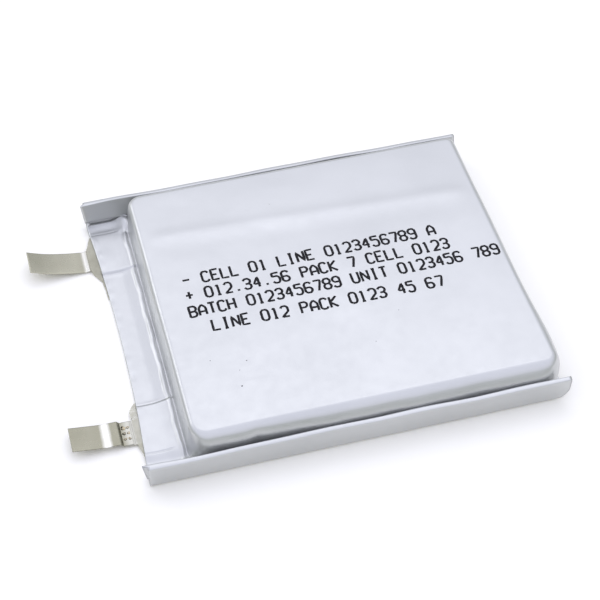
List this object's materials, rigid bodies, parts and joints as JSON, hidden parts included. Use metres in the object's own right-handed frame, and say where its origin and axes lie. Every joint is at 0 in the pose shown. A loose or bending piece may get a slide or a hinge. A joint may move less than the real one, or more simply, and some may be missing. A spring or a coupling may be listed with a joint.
{
  "type": "pouch battery cell",
  "caption": "Thin rectangular lithium-ion pouch cell in aluminium laminate, with folded side seals and flat metal tabs at one end.",
  "frame": {"origin": "centre of the flat back face of the pouch, between its two ends and its two sides", "axes": "+X from the tabs towards the folded end of the pouch, +Y towards the negative tab's side, +Z from the back face up through the cup"},
  "size_m": [0.0525, 0.0406, 0.005],
  "materials": {
    "laminate": "satin",
    "nickel": "fine brushed",
    "aluminium_tab": "matte",
    "weld": "fused",
    "sealing_film": "translucent satin",
    "copper_foil": "satin",
    "aluminium_foil": "satin",
    "cathode_coating": "calendered powder",
    "anode_coating": "calendered powder",
    "separator": "microporous film",
    "tape": "adhesive film"
  },
  "bodies": {
    "pouch": {"pouch_back": "laminate", "pouch_cup": "laminate", "negative_tab_inner": "nickel", "positive_tab_inner": "aluminium_tab", "negative_sealant_lower": "sealing_film", "negative_sealant_upper": "sealing_film", "positive_sealant_lower": "sealing_film", "positive_sealant_upper": "sealing_film", "cathode_foil": "aluminium_foil", "cathode_coating_inner": "cathode_coating", "cathode_coating_outer": "cathode_coating", "anode_foil": "copper_foil", "anode_coating_inner": "anode_coating", "anode_coating_outer": "anode_coating", "separator_inner": "separator", "separator_outer": "separator", "negative_tab_tape": "tape", "positive_tab_tape": "tape", "termination_tape": "tape", "bottom_tape": "tape"},
    "negative_tab": {"negative_tab_outer": "nickel"},
    "positive_tab": {"positive_tab_outer": "aluminium_tab", "positive_nickel_strip": "nickel", "spot_welds": "weld"}
  },
  "joints": [
    {"name": "negative_tab_bend", "type": "hinge", "parent": "pouch", "child": "negative_tab", "pos_m": [-0.02333, 0.01385, 0.00024], "axis": [0, 1, 0], "range_deg": [-90, 75]},
    {"name": "positive_tab_bend", "type": "hinge", "parent": "pouch", "child": "positive_tab", "pos_m": [-0.02293, -0.01245, 0.00024], "axis": [0, 1, 0], "range_deg": [-90, 75]}
  ]
}
